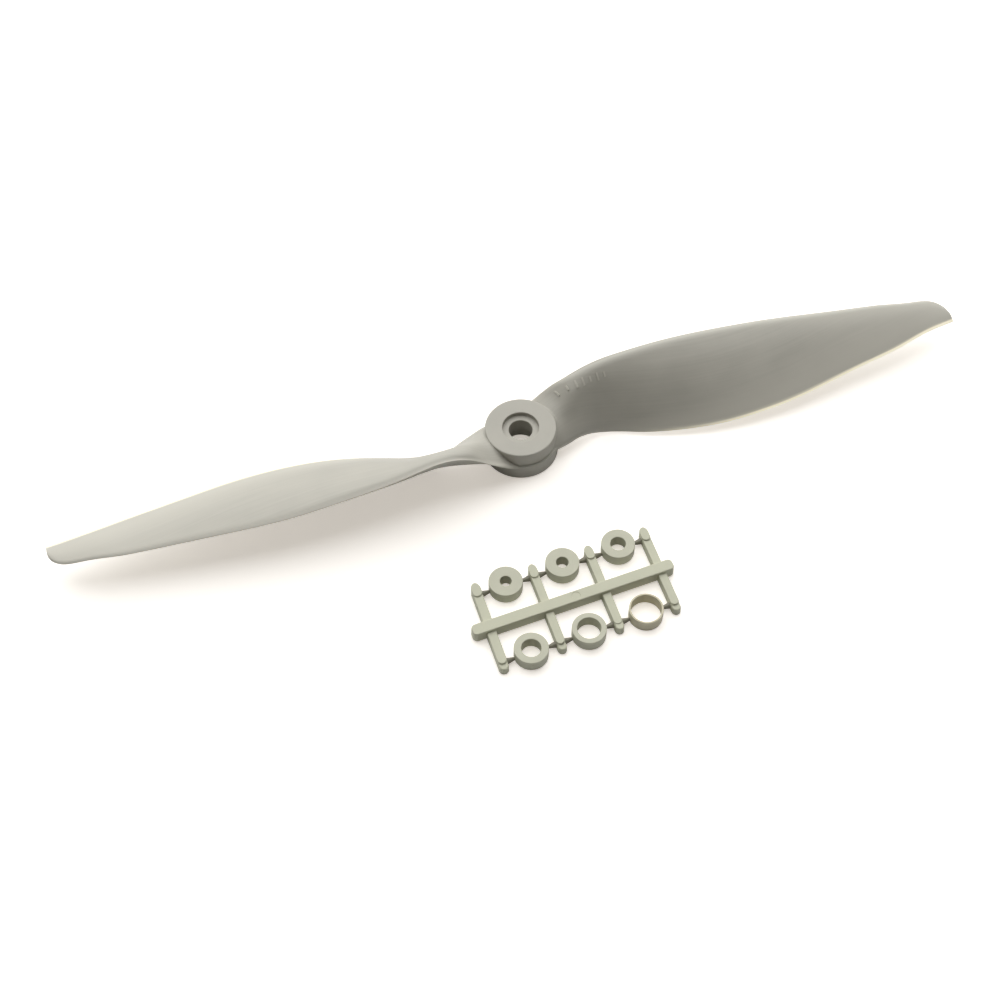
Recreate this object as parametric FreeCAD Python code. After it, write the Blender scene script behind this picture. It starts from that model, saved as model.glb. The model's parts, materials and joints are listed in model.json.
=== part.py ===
import FreeCAD, Part

import math
import os

# A two-blade propeller for an electric model aeroplane, with the moulded tree that
# carries its six shaft adapter rings lying beside it.
# Millimetres. The origin is on the hub's axis, in the plane of the hub's back face,
# which is the plane that everything lies on. +Z points out of the hub's front face,
# and the blades run along +X and -X. Seen from the front it turns anticlockwise.

# Propeller: a 10 by 7 inch size
INCH = 25.4
DIAMETER = 10 * INCH
PITCH = 7 * INCH
TIP_RADIUS = DIAMETER / 2

# Hub. Two mould halves meet at the parting line, and the back half is the wider one.
HUB_HEIGHT = 9.4
HUB_PARTING_Z = 5.1
HUB_BACK_RADIUS = 10.2
HUB_FRONT_RADIUS = 9.7
HUB_DRAFT = 0.08
HUB_EDGE_ROUND = 0.3
SHAFT_BORE_RADIUS = INCH / 8
FRONT_RECESS_RADIUS = 4.9
FRONT_RECESS_DEPTH = 1.2
RING_SEAT_DEPTH = 4.6

# Blade. Each row: radius, chord, middle of the chord across the blade and in height,
# how much of the pitch rule's twist the root has reached, and the thickness.
BLADE_STATIONS = (
    (3.0, 16.8, 0.4, 4.4, 0.00, 4.4),
    (6.5, 16.8, 1.0, 5.0, 0.09, 5.4),
    (10.0, 16.7, 1.6, 6.2, 0.25, 5.8),
    (14.0, 16.6, 2.1, 7.6, 0.49, 5.0),
    (18.0, 17.4, 2.5, 8.4, 0.76, 4.3),
    (23.0, 19.7, 2.6, 8.6, 1.00, 3.6),
    (28.0, 21.4, 2.0, 8.7, 1.06, 3.3),
    (35.0, 23.4, 0.8, 8.6, 1.02, 3.0),
    (44.0, 25.3, -0.4, 8.6, 1.00, 2.8),
    (54.0, 26.3, -1.4, 8.5, 1.00, 2.5),
    (65.0, 25.8, -2.0, 8.4, 1.00, 2.2),
    (77.0, 23.7, -2.4, 8.5, 1.06, 1.9),
    (90.0, 19.7, -2.5, 8.7, 1.12, 1.6),
    (103.0, 15.8, -2.6, 8.8, 1.15, 1.3),
    (114.0, 11.7, -2.8, 9.1, 1.10, 1.1),
    (121.0, 9.3, -2.9, 9.3, 0.95, 0.95),
)
TIP_STATION = (TIP_RADIUS, 8.1, -3.0, 9.2, 0.85, 0.7)
TIP_ROUND = 5.0
TIP_STEPS = (0.35, 0.65, 0.85, 0.95, 1.0)
ROOT_SECTION_RADIUS = 12.0
ROOT_CROWN_PLACE = 0.55
ROOT_RISE_POWER = 1.2

# Neck, where the root turns into the blade: its back is full near the nose and falls off behind
NECK_START = 10.0
NECK_END = 19.0
NECK_CROWN_PLACE = 0.28
NECK_RISE_POWER = 0.6
NECK_SWELL = 0.5

ROOT_NOSE = 1.0
BLADE_NOSE = 0.12
AIRFOIL_RADIUS = 40.0
CAMBER = 0.035
CAMBER_PLACE = 0.40
EDGE_THICKNESS = 0.35
SECTION_POINTS = 9

# Ring tree, in its own frame: the runner bar along its X, the arms across it
TREE_X = -3.95
TREE_Y = -50.5
TREE_TURN = 1.0
ARM_LEAN = 3.0
BAR_LEFT = -28.2
BAR_RIGHT = 27.0
BAR_MIDDLE_Y = -0.3
BAR_WIDTH = 3.4
BAR_HEIGHT = 3.65
BAR_END_ROUND = 1.2
BAR_EDGE = 0.25
BAR_FOOT_BEVEL = 0.5
BAR_MARK_RADIUS = 1.1
BAR_MARK_DEPTH = 0.1
ARM_PITCH = 15.6
ARM_WIDTHS = (2.6, 2.4, 2.4, 2.4)
ARM_HEIGHT = 2.8
ARM_REACH = 13.0
ARM_EDGE = 0.2
ARM_TOP_REACH = 11.4
TOE_HEIGHTS = (2.3, 2.2, 2.6, 2.3)
PAD_START = 8.7
PAD_RISE = 0.35

# Adapter rings: two rows of three, hung between the arms on tapered gates
RING_ROW = 10.2
RING_RADIUS = 4.4
RING_HEIGHT = 3.7
RING_EDGE = 0.12
RING_BORES = (3.0, 3.2, 4.0, 5.0, 6.0, 7.8)
GATE_Z = 1.1
GATE_ARM_RADIUS = 0.95
GATE_RING_RADIUS = 0.45
GATE_GAP = 0.05
GATE_BITE = 0.3

UP = FreeCAD.Vector(0, 0, 1)
ORIGIN = FreeCAD.Vector(0, 0, 0)


def point(x, y, z):
    return FreeCAD.Vector(x, y, z)


def save(name, shape):
    shape.exportStep("parts/" + name + ".step")
    solids = len(shape.Solids)
    print(f"{name}: {solids} solid, volume {shape.Volume:.2f}, valid {shape.isValid()}")


def turned(outline):
    """A solid of revolution about Z from (radius, height) pairs."""
    points = [point(radius, 0, height) for radius, height in outline]
    face = Part.Face(Part.makePolygon(points + points[:1]))
    return face.revolve(ORIGIN, UP, 360)


def disc(radius, height, x=0.0, y=0.0, z=0.0):
    return Part.makeCylinder(radius, height, point(x, y, z), UP)


# ---------------------------------------------------------------- hub

def hub_envelope(height):
    """The hub's outside with no holes, carried up to the given height."""
    back = disc(HUB_BACK_RADIUS, HUB_PARTING_Z)
    front = disc(HUB_FRONT_RADIUS, height - HUB_PARTING_Z, z=HUB_PARTING_Z)
    return back.fuse(front).removeSplitter()


def hub():
    top = HUB_HEIGHT
    soft = HUB_EDGE_ROUND
    outline = (
        (0, 0),
        (HUB_BACK_RADIUS - HUB_DRAFT - soft, 0),
        (HUB_BACK_RADIUS - HUB_DRAFT, soft),
        (HUB_BACK_RADIUS, HUB_PARTING_Z),
        (HUB_FRONT_RADIUS, HUB_PARTING_Z),
        (HUB_FRONT_RADIUS - HUB_DRAFT, top - soft),
        (HUB_FRONT_RADIUS - HUB_DRAFT - 0.3 * soft, top - 0.3 * soft),
        (HUB_FRONT_RADIUS - HUB_DRAFT - soft, top),
        (0, top),
    )
    body = turned(outline)
    body = body.cut(disc(SHAFT_BORE_RADIUS, top))
    body = body.cut(disc(FRONT_RECESS_RADIUS, FRONT_RECESS_DEPTH, z=top - FRONT_RECESS_DEPTH))
    return body.cut(disc(RING_RADIUS, RING_SEAT_DEPTH))


# ---------------------------------------------------------------- blades

def twist(radius, share):
    """The blade angle that a constant pitch asks for, eased off towards the hub."""
    return share * math.atan(PITCH / (2 * math.pi * radius))


def root_half(place, crown, power):
    """The root's section: a rise from the nose to the crown, then an oval down to the tail."""
    if place < crown:
        return math.sin(0.5 * math.pi * place / crown) ** power
    behind = (place - crown) / (1 - crown)
    return math.sqrt(max(0.0, 1 - behind ** 2))


def airfoil_half(place):
    """The usual four-digit airfoil thickness, scaled to 1 at its thickest."""
    shape = 2.969 * math.sqrt(place) - 1.26 * place - 3.516 * place ** 2
    return shape + 2.843 * place ** 3 - 1.036 * place ** 4


def ramp(value, start, end):
    """0 before start, 1 after end and a straight line between them."""
    return min(1.0, max(0.0, (value - start) / (end - start)))


def camber_line(place):
    if place < CAMBER_PLACE:
        return CAMBER * (2 * place / CAMBER_PLACE - (place / CAMBER_PLACE) ** 2)
    rest = (place - CAMBER_PLACE) / (1 - CAMBER_PLACE)
    return CAMBER * (1 - rest ** 2)


def turn_in_section(along, rise, angle):
    y = along * math.cos(angle) - rise * math.sin(angle)
    z = along * math.sin(angle) + rise * math.cos(angle)
    return y, z


def section(radius, chord, middle_y, middle_z, share, thickness, cut_nose=0.0):
    """One closed section of the blade, in the plane X = radius.

    cut_nose takes that much off the leading side, which is how the tip is rounded.
    """
    angle = twist(radius, share)
    outboard = ramp(radius, ROOT_SECTION_RADIUS, AIRFOIL_RADIUS)
    neck = ramp(radius, NECK_START, NECK_END)
    crown = ROOT_CROWN_PLACE + (NECK_CROWN_PLACE - ROOT_CROWN_PLACE) * neck
    power = ROOT_RISE_POWER + (NECK_RISE_POWER - ROOT_RISE_POWER) * neck
    swell = NECK_SWELL * neck * (1 - ramp(radius, NECK_END, AIRFOIL_RADIUS))
    inner = ramp(radius, 0, ROOT_SECTION_RADIUS)
    nose = ROOT_NOSE + (BLADE_NOSE - ROOT_NOSE) * inner
    length = chord - nose - cut_nose
    front = 0.5 * (chord - nose) - cut_nose
    upper = []
    lower = []
    for step in range(SECTION_POINTS + 1):
        place = 0.5 * (1 - math.cos(math.pi * step / SECTION_POINTS))
        full = (1 - outboard) * root_half(place, crown, power) + outboard * airfoil_half(place)
        edge = nose * (1 - place) + 0.5 * EDGE_THICKNESS * place
        under = edge + (0.5 * thickness - edge) * full
        behind = ramp(place, crown, 1)
        over = under + swell * 0.5 * thickness * full * (1 - behind) ** 2
        bend = camber_line(place) * chord * outboard
        for side, points in ((over, upper), (-under, lower)):
            points.append(turn_in_section(front - place * length, bend + side, angle))
    tip = turn_in_section(front + nose, 0, angle)
    loop = list(reversed(upper)) + [tip] + lower
    loop = [point(radius, middle_y + y, middle_z + z) for y, z in loop]
    spline = Part.BSplineCurve()
    spline.interpolate(loop)
    tail = Part.LineSegment(loop[-1], loop[0])
    return Part.Wire([spline.toShape(), tail.toShape()])


def blade():
    wires = [section(*station) for station in BLADE_STATIONS]
    last = BLADE_STATIONS[-1]
    for step in TIP_STEPS:
        row = [a + (b - a) * step for a, b in zip(last, TIP_STATION)]
        wires.append(section(*row, cut_nose=TIP_ROUND * (1 - math.sqrt(1 - step ** 2))))
    solid = Part.makeLoft(wires, True, False)
    return solid.cut(hub_envelope(3 * HUB_HEIGHT))


# ---------------------------------------------------------------- ring tree

def in_tree(shape):
    """Moves a shape from the tree's frame to the part's frame."""
    placed = shape.copy()
    placed.rotate(ORIGIN, UP, TREE_TURN)
    placed.translate(point(TREE_X, TREE_Y, 0))
    return placed


def bar():
    length = BAR_RIGHT - BAR_LEFT
    block = Part.makeBox(length, BAR_WIDTH, BAR_HEIGHT, point(BAR_LEFT, BAR_MIDDLE_Y - BAR_WIDTH / 2, 0))
    uprights = [edge for edge in block.Edges if abs(edge.tangentAt(edge.FirstParameter).z) > 0.9]
    block = block.makeFillet(BAR_END_ROUND, uprights)
    foot = [edge for edge in block.Edges if edge.BoundBox.ZMax < 0.01]
    block = block.makeChamfer(BAR_FOOT_BEVEL, foot)
    rim = [edge for edge in block.Edges if edge.BoundBox.ZMin > BAR_HEIGHT - 0.01]
    block = block.makeFillet(BAR_EDGE, rim)
    mark = disc(BAR_MARK_RADIUS, 1.0, z=BAR_HEIGHT - BAR_MARK_DEPTH)
    mark.translate(point(0, BAR_MIDDLE_Y, 0))
    return block.cut(mark)


def arm_x(number):
    return (number - 1.5) * ARM_PITCH


def bullet(width, start, end, height, base=0.0):
    """A straight bar along Y with a round far end, standing on the given height."""
    radius = width / 2
    far = abs(end) - radius
    side = math.copysign(1.0, end)
    corners = [
        point(-radius, start, base),
        point(radius, start, base),
        point(radius, side * far, base),
        point(-radius, side * far, base),
    ]
    crown = point(0, side * (far + radius), base)
    edges = [
        Part.LineSegment(corners[0], corners[1]).toShape(),
        Part.LineSegment(corners[1], corners[2]).toShape(),
        Part.Arc(corners[2], crown, corners[3]).toShape(),
        Part.LineSegment(corners[3], corners[0]).toShape(),
    ]
    return Part.Face(Part.Wire(edges)).extrude(point(0, 0, height))


def soften_top(shape, size):
    """Rounds the edges of the top face, except the end that meets the runner bar."""
    top = shape.BoundBox.ZMax
    edges = []
    for edge in shape.Edges:
        box = edge.BoundBox
        if box.ZMin > top - 0.01 and (box.YLength > 0.01):
            edges.append(edge)
    return shape.makeFillet(size, edges)


def lean(shape, number):
    placed = shape.copy()
    placed.rotate(ORIGIN, UP, -ARM_LEAN)
    placed.translate(point(arm_x(number), 0, 0))
    return placed


def rear_arm(number):
    arm = soften_top(bullet(ARM_WIDTHS[number], 0, ARM_REACH, ARM_HEIGHT), ARM_EDGE)
    return lean(arm, number).cut(bar())


def front_arm(number):
    arm = soften_top(bullet(ARM_WIDTHS[number], 0, -ARM_TOP_REACH, ARM_HEIGHT), ARM_EDGE)
    return lean(arm, number).cut(bar())


def toe(number):
    start = -ARM_TOP_REACH + ARM_WIDTHS[number]
    end = soften_top(bullet(ARM_WIDTHS[number], start, -ARM_REACH, TOE_HEIGHTS[number]), 3 * ARM_EDGE)
    body = bullet(ARM_WIDTHS[number], 0, -ARM_TOP_REACH, ARM_HEIGHT)
    return lean(end.cut(body), number)


def pad(number):
    """The raised ejector pad at the arm's rear end: an arch at the front, a round end behind."""
    width = ARM_WIDTHS[number]
    block = bullet(width, PAD_START, ARM_REACH, PAD_RISE, ARM_HEIGHT - ARM_EDGE)
    arch = disc(width, PAD_RISE, y=PAD_START + width, z=ARM_HEIGHT - ARM_EDGE)
    block = block.common(arch.fuse(disc(width, PAD_RISE, y=ARM_REACH, z=ARM_HEIGHT - ARM_EDGE)))
    block.translate(point(0, 0, ARM_EDGE))
    return lean(block, number)


def ring_centre(number):
    column = number % 3
    row = RING_ROW if number < 3 else -RING_ROW
    return (column - 1) * ARM_PITCH + row * math.tan(math.radians(ARM_LEAN)), row


def ring(number):
    x, y = ring_centre(number)
    inner = RING_BORES[number] / 2
    outline = (
        (inner, 0),
        (RING_RADIUS - RING_EDGE, 0),
        (RING_RADIUS, RING_EDGE),
        (RING_RADIUS, RING_HEIGHT - RING_EDGE),
        (RING_RADIUS - RING_EDGE, RING_HEIGHT),
        (inner, RING_HEIGHT),
    )
    body = turned(outline)
    body.translate(point(x, y, 0))
    return body


def gate(number, side):
    """The tapered gate from an arm to a ring: side is -1 on the ring's left, 1 on its right."""
    x, y = ring_centre(number)
    arm_number = number % 3 + (1 if side > 0 else 0)
    start = RING_RADIUS + GATE_GAP
    reach = ARM_PITCH / 2 - ARM_WIDTHS[arm_number] / 2 + GATE_BITE
    foot = point(x + side * start, y, GATE_Z)
    along = point(side, 0, 0)
    cone = Part.makeCone(GATE_RING_RADIUS, GATE_ARM_RADIUS, reach - start, foot, along)
    if number < 3:
        return cone.cut(rear_arm(arm_number))
    return cone.cut(front_arm(arm_number)).cut(toe(arm_number))


def main():
    os.makedirs("parts", exist_ok=True)
    save("hub", hub())
    right = blade()
    save("blade_right", right)
    left = right.copy()
    left.rotate(ORIGIN, UP, 180)
    save("blade_left", left)
    save("runner_bar", in_tree(bar()))
    for number in range(4):
        label = str(number + 1)
        save("arm_rear_" + label, in_tree(rear_arm(number)))
        save("arm_front_" + label, in_tree(front_arm(number)))
        save("arm_toe_" + label, in_tree(toe(number)))
        save("ejector_pad_" + label, in_tree(pad(number)))
    for number in range(6):
        label = str(number + 1)
        save("adapter_ring_" + label, in_tree(ring(number)))
        save("gate_left_" + label, in_tree(gate(number, -1)))
        save("gate_right_" + label, in_tree(gate(number, 1)))


main()
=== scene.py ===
# %% [markdown]
# # A moulded aeroplane propeller with its tree of adapter rings
# The object is two mouldings in grey glass-filled nylon: a two-blade propeller, and a small
# tree that carries six adapter rings for motor shafts of different sizes. The CAD model gives
# every size and place. This script puts the finish on it: soft moulded edges, the small round
# where each blade grows out of the hub, tool marks, and the look of the nylon.
# The frame comes first, because every piece below is measured from it.

# %% Load the CAD frame
import json
import math

import bmesh
import bpy
import numpy as np
from mathutils import Matrix, Vector


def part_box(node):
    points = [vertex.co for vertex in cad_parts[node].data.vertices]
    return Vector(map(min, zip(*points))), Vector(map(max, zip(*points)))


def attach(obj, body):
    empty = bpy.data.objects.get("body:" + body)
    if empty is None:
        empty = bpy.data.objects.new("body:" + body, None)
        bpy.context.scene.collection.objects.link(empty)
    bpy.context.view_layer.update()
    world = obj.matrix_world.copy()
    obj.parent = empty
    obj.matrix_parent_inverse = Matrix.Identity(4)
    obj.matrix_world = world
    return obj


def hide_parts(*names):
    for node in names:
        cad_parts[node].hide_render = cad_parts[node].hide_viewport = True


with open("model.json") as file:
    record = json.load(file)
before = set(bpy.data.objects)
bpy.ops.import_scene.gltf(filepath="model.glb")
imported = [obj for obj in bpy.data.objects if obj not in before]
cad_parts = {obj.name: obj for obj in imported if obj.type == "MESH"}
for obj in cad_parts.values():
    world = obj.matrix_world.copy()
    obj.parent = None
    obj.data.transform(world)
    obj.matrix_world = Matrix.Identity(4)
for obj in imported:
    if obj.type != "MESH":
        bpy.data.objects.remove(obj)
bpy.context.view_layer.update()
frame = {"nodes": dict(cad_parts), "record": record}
MM = 0.001

# %% [markdown]
# ## Camera, light and table
# The propeller lies on a white table, seen from in front and well above. The light is one big
# soft source behind the table and high up, so faces that tip away from the viewer are bright and
# faces that tip towards the viewer fall into shade. That is what shows the twist of the blades:
# the left one is light and the right one is dark near its root. A sun lamp with a wide angle
# gives this light evenly over the whole table, and the world fills the shadows.

# %% Camera
CAMERA_PLACE = Vector((-0.09046, -0.23966, 0.35096))
CAMERA_TURN = math.radians(-19.38)
CAMERA_DOWN = math.radians(55.75)
CAMERA_ROLL = math.radians(-0.78)
CAMERA_LENS = 57.34
SENSOR_WIDTH = 36
CLIP_START = 0.01

camera_data = bpy.data.cameras.new("camera")
camera_data.lens = CAMERA_LENS
camera_data.sensor_width = SENSOR_WIDTH
camera_data.clip_start = CLIP_START
camera = bpy.data.objects.new("camera", camera_data)
aim = Matrix.Rotation(CAMERA_TURN, 4, "Z") @ Matrix.Rotation(math.pi / 2 - CAMERA_DOWN, 4, "X")
camera.matrix_world = Matrix.Translation(CAMERA_PLACE) @ aim @ Matrix.Rotation(CAMERA_ROLL, 4, "Z")
bpy.context.scene.collection.objects.link(camera)
bpy.context.scene.camera = camera
bpy.context.scene.view_settings.view_transform = "Standard"
print("camera looks down at", round(math.degrees(CAMERA_DOWN), 1), "degrees")

# %% Light
KEY_LEAN = math.radians(41)
KEY_TURN = math.radians(-12)
KEY_STRENGTH = 3.75
KEY_SOFTNESS = math.radians(96)
FILL_STRENGTH = 0.10
FILL_COLOUR = (1.0, 0.985, 0.96, 1.0)

key_data = bpy.data.lights.new("key", "SUN")
key_data.energy = KEY_STRENGTH
key_data.angle = KEY_SOFTNESS
key = bpy.data.objects.new("key", key_data)
key.matrix_world = Matrix.Rotation(KEY_TURN, 4, "Z") @ Matrix.Rotation(-KEY_LEAN, 4, "X")
bpy.context.scene.collection.objects.link(key)

world = bpy.data.worlds.new("studio")
world.use_nodes = True
sky = world.node_tree.nodes["Background"]
sky.inputs["Color"].default_value = FILL_COLOUR
sky.inputs["Strength"].default_value = FILL_STRENGTH
bpy.context.scene.world = world
print("key light leans", round(math.degrees(KEY_LEAN)), "degrees to the back")

# %% Table
TABLE_HALF = 30.0
TABLE_WHITE = (0.90, 0.89, 0.88, 1.0)
TABLE_GLOW = (1.0, 0.93, 0.84, 1.0)
GLOW_STRENGTH = 0.47


def table():
    """A white table. Seen directly it glows a little, as a lit table does, so shadows stay pale."""
    mesh = bpy.data.meshes.new("table")
    half = TABLE_HALF
    corners = [(-half, -half, 0), (half, -half, 0), (half, half, 0), (-half, half, 0)]
    mesh.from_pydata(corners, [], [(0, 1, 2, 3)])
    top = bpy.data.objects.new("table", mesh)
    bpy.context.scene.collection.objects.link(top)
    paper = bpy.data.materials.new("table_paper")
    paper.use_nodes = True
    nodes = paper.node_tree.nodes
    shader = nodes["Principled BSDF"]
    shader.inputs["Base Color"].default_value = TABLE_WHITE
    shader.inputs["Roughness"].default_value = 0.9
    shader.inputs["Specular IOR Level"].default_value = 0.1
    shader.inputs["Emission Color"].default_value = TABLE_GLOW
    seen = nodes.new("ShaderNodeLightPath")
    level = nodes.new("ShaderNodeMath")
    level.operation = "MULTIPLY"
    level.inputs[1].default_value = GLOW_STRENGTH
    paper.node_tree.links.new(seen.outputs["Is Camera Ray"], level.inputs[0])
    paper.node_tree.links.new(level.outputs[0], shader.inputs["Emission Strength"])
    mesh.materials.append(paper)
    return top


table()
print("table is", 2 * TABLE_HALF, "m wide")

# %% [markdown]
# ## The nylon
# Glass-filled nylon has a satin skin that is never quite even. Three effects make it: a very
# fine grain from the mould, faint streaks where the melt flowed along the part, and soft cloudy
# patches. Each is a node group, built once and given its own values where it is used. A group
# puts out only masks and heights, and the shader stays in the material, so the finish can be
# baked. Thin nylon also lets light through and looks cream; on the blades that light is painted
# into the colour, through masks the blades carry.

# %% Helpers for node trees
def wire(tree, source, target):
    """Links two sockets."""
    tree.links.new(source, target)


def group_with(name, inputs, outputs):
    """A new shader group with float inputs (name, default) and float outputs, given by name."""
    group = bpy.data.node_groups.new(name, "ShaderNodeTree")
    group.interface.new_socket("Vector", in_out="INPUT", socket_type="NodeSocketVector")
    for label, value in inputs:
        socket = group.interface.new_socket(label, in_out="INPUT", socket_type="NodeSocketFloat")
        socket.default_value = value
    for label in outputs:
        group.interface.new_socket(label, in_out="OUTPUT", socket_type="NodeSocketFloat")
    return group, group.nodes.new("NodeGroupInput"), group.nodes.new("NodeGroupOutput")


def ranged(tree, source, low, high, out_low=0.0, out_high=1.0):
    """Maps a value from one range to another, held inside it."""
    node = tree.nodes.new("ShaderNodeMapRange")
    limits = {"From Min": low, "From Max": high, "To Min": out_low, "To Max": out_high}
    for label, value in limits.items():
        node.inputs[label].default_value = value
    wire(tree, source, node.inputs["Value"])
    return node.outputs["Result"]


def combined(tree, operation, first, second):
    """A maths node; each side is a socket or a number."""
    node = tree.nodes.new("ShaderNodeMath")
    node.operation = operation
    for side, value in zip(node.inputs, (first, second)):
        if isinstance(value, (int, float)):
            side.default_value = value
        else:
            wire(tree, value, side)
    return node.outputs[0]


print("node helpers ready")

# %% Mould grain, flow streaks and mottle
NOISE_SPAN = (0.3, 0.7)


def mould_grain():
    """A fine even noise, as a height."""
    group, inlet, outlet = group_with("mould_grain", (("Scale", 2500.0),), ("Height",))
    noise = group.nodes.new("ShaderNodeTexNoise")
    noise.inputs["Detail"].default_value = 3.0
    noise.inputs["Roughness"].default_value = 0.6
    wire(group, inlet.outputs["Vector"], noise.inputs["Vector"])
    wire(group, inlet.outputs["Scale"], noise.inputs["Scale"])
    wire(group, noise.outputs["Fac"], outlet.inputs["Height"])
    return group


def flow_streaks():
    """Long faint streaks: noise squeezed across the flow and stretched along it."""
    inputs = (("Along", 0.35), ("Across", 14.0))
    group, inlet, outlet = group_with("flow_streaks", inputs, ("Streak",))
    split = group.nodes.new("ShaderNodeSeparateXYZ")
    join = group.nodes.new("ShaderNodeCombineXYZ")
    wire(group, inlet.outputs["Vector"], split.inputs[0])
    for axis, label in enumerate(("Along", "Across")):
        squeezed = combined(group, "MULTIPLY", split.outputs[axis], inlet.outputs[label])
        wire(group, squeezed, join.inputs[axis])
    noise = group.nodes.new("ShaderNodeTexNoise")
    noise.inputs["Scale"].default_value = 1.0
    noise.inputs["Detail"].default_value = 2.0
    wire(group, join.outputs[0], noise.inputs["Vector"])
    wire(group, ranged(group, noise.outputs["Fac"], *NOISE_SPAN), outlet.inputs["Streak"])
    return group


def cloudy_mottle():
    """Broad soft patches, as a mask."""
    group, inlet, outlet = group_with("cloudy_mottle", (("Scale", 120.0),), ("Cloud",))
    noise = group.nodes.new("ShaderNodeTexNoise")
    noise.inputs["Detail"].default_value = 4.0
    wire(group, inlet.outputs["Vector"], noise.inputs["Vector"])
    wire(group, inlet.outputs["Scale"], noise.inputs["Scale"])
    wire(group, ranged(group, noise.outputs["Fac"], *NOISE_SPAN), outlet.inputs["Cloud"])
    return group


EFFECTS = {"grain": mould_grain(), "streaks": flow_streaks(), "mottle": cloudy_mottle()}
print("effects:", sorted(EFFECTS))

# %% The finish that every piece is given
# painted light: the cream of light through the blade's edges
PAINTED_EDGE_CREAM = (0.72, 0.67, 0.52)
BLACK = (0.0, 0.0, 0.0)
# painted light: how much lighter the blade's thinnest parts and the raised bars are painted
PAINTED_LIGHT_GAIN = 1.24
STREAK_LIGHT = 1.35
CLOUD_DARK = 0.96
CLOUD_LIGHT = 1.04
SATIN = (0.40, 0.50)
GRAIN_HEIGHT = 0.004
CIRCLE_RATE = 14000.0
BUMP_STRENGTH = 0.6


def effect(tree, name, vector, **values):
    """Places one of the effects in a material and returns its output."""
    node = tree.nodes.new("ShaderNodeGroup")
    node.node_tree = EFFECTS[name]
    wire(tree, vector, node.inputs["Vector"])
    for label, value in values.items():
        node.inputs[label].default_value = value
    return node.outputs[0]


def blended(tree, factor, first, second):
    """Mixes two colours, each a socket or a value."""
    mix = tree.nodes.new("ShaderNodeMix")
    mix.data_type = "RGBA"
    wire(tree, factor, mix.inputs[0])
    for side, value in ((mix.inputs[6], first), (mix.inputs[7], second)):
        if isinstance(value, tuple):
            side.default_value = (*value, 1.0)
        else:
            wire(tree, value, side)
    return mix.outputs[2]


def shaded(colour, amount):
    """A colour made lighter or darker."""
    return tuple(channel * amount for channel in colour)


def attribute(tree, name):
    """A number kept on the mesh, which is 0 on a mesh that doesn't have it."""
    node = tree.nodes.new("ShaderNodeAttribute")
    node.attribute_name = name
    return node.outputs["Fac"]


def nylon(name, colour, streak=0.0, circles=0.0, glow=0.0):
    """Satin nylon; streaks follow the UV map. Painted light and turned marks come from attributes.
    """
    material = bpy.data.materials.new(name)
    material.use_nodes = True
    tree = material.node_tree
    shader = tree.nodes["Principled BSDF"]
    shader.inputs["IOR"].default_value = 1.5
    shader.inputs["Specular IOR Level"].default_value = 0.4
    place = tree.nodes.new("ShaderNodeTexCoord")
    grain = effect(tree, "grain", place.outputs["Object"])
    cloud = effect(tree, "mottle", place.outputs["Object"])
    base = blended(tree, cloud, shaded(colour, CLOUD_DARK), shaded(colour, CLOUD_LIGHT))
    if streak:
        flow = effect(tree, "streaks", place.outputs["UV"])
        weight = combined(tree, "MULTIPLY", flow, streak)
        base = blended(tree, weight, base, shaded(colour, STREAK_LIGHT))
    # painted light: the blade is painted lighter where it has little thickness, and so are the
    # raised bars
    base = blended(tree, attribute(tree, "painted_light"), base, shaded(colour, PAINTED_LIGHT_GAIN))
    # painted light: cream lines along the blade's edges
    thin_painted_light = attribute(tree, "thin_painted_light")
    wire(tree, blended(tree, thin_painted_light, base, PAINTED_EDGE_CREAM), shader.inputs["Base Color"])
    # the cream edge lines also glow: painted light, though the blade is no lamp
    if glow:
        wire(tree, blended(tree, thin_painted_light, BLACK, PAINTED_EDGE_CREAM), shader.inputs["Emission Color"])
        shader.inputs["Emission Strength"].default_value = glow
    wire(tree, ranged(tree, cloud, 0, 1, *SATIN), shader.inputs["Roughness"])
    height = combined(tree, "MULTIPLY", grain, GRAIN_HEIGHT)
    if circles:
        turns = combined(tree, "MULTIPLY", attribute(tree, "from_axis"), CIRCLE_RATE)
        wave = combined(tree, "SINE", turns, 0.0)
        height = combined(tree, "ADD", height, combined(tree, "MULTIPLY", wave, circles))
    bump = tree.nodes.new("ShaderNodeBump")
    bump.inputs["Strength"].default_value = BUMP_STRENGTH
    bump.inputs["Distance"].default_value = MM
    wire(tree, height, bump.inputs["Height"])
    wire(tree, bump.outputs["Normal"], shader.inputs["Normal"])
    return material


print("finish helper ready")

# %% [markdown]
# The propeller is a neutral grey; its blades are painted a touch darker than the hub, which is
# painted shade. The tree and the rings are a little greener and lighter. The gates are slender
# and sit in shade, and their dark grey is that shade, painted.

# %% Finishes
GREY = (0.43, 0.415, 0.36)
# painted shade: the blades are the hub's grey painted a little darker
BLADE_PAINTED_SHADE = 0.95
TREE_GREY = (0.525, 0.526, 0.40)
# painted shade: the gates' dark grey stands for the shade they sit in
GATE_PAINTED_SHADE_GREY = (0.22, 0.21, 0.16)
RING_GREY = (0.515, 0.513, 0.40)
THIN_RING_GREY = (0.60, 0.56, 0.41)
# painted light: how strongly the blade's cream edges glow
PAINTED_EDGE_GLOW = 0.55

BLADE_NYLON = nylon("satin_blade", shaded(GREY, BLADE_PAINTED_SHADE), streak=0.2, glow=PAINTED_EDGE_GLOW)
HUB_NYLON = nylon("satin_hub", GREY, circles=0.003)
TREE_NYLON = nylon("satin_tree", TREE_GREY)
GATE_NYLON = nylon("satin_gate", GATE_PAINTED_SHADE_GREY)
RING_NYLON = nylon("satin_ring", RING_GREY, circles=0.010)
THIN_NYLON = nylon("satin_thin_ring", THIN_RING_GREY, circles=0.002)
print("finishes:", [item.name for item in bpy.data.materials if "satin" in item.name])

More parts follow.
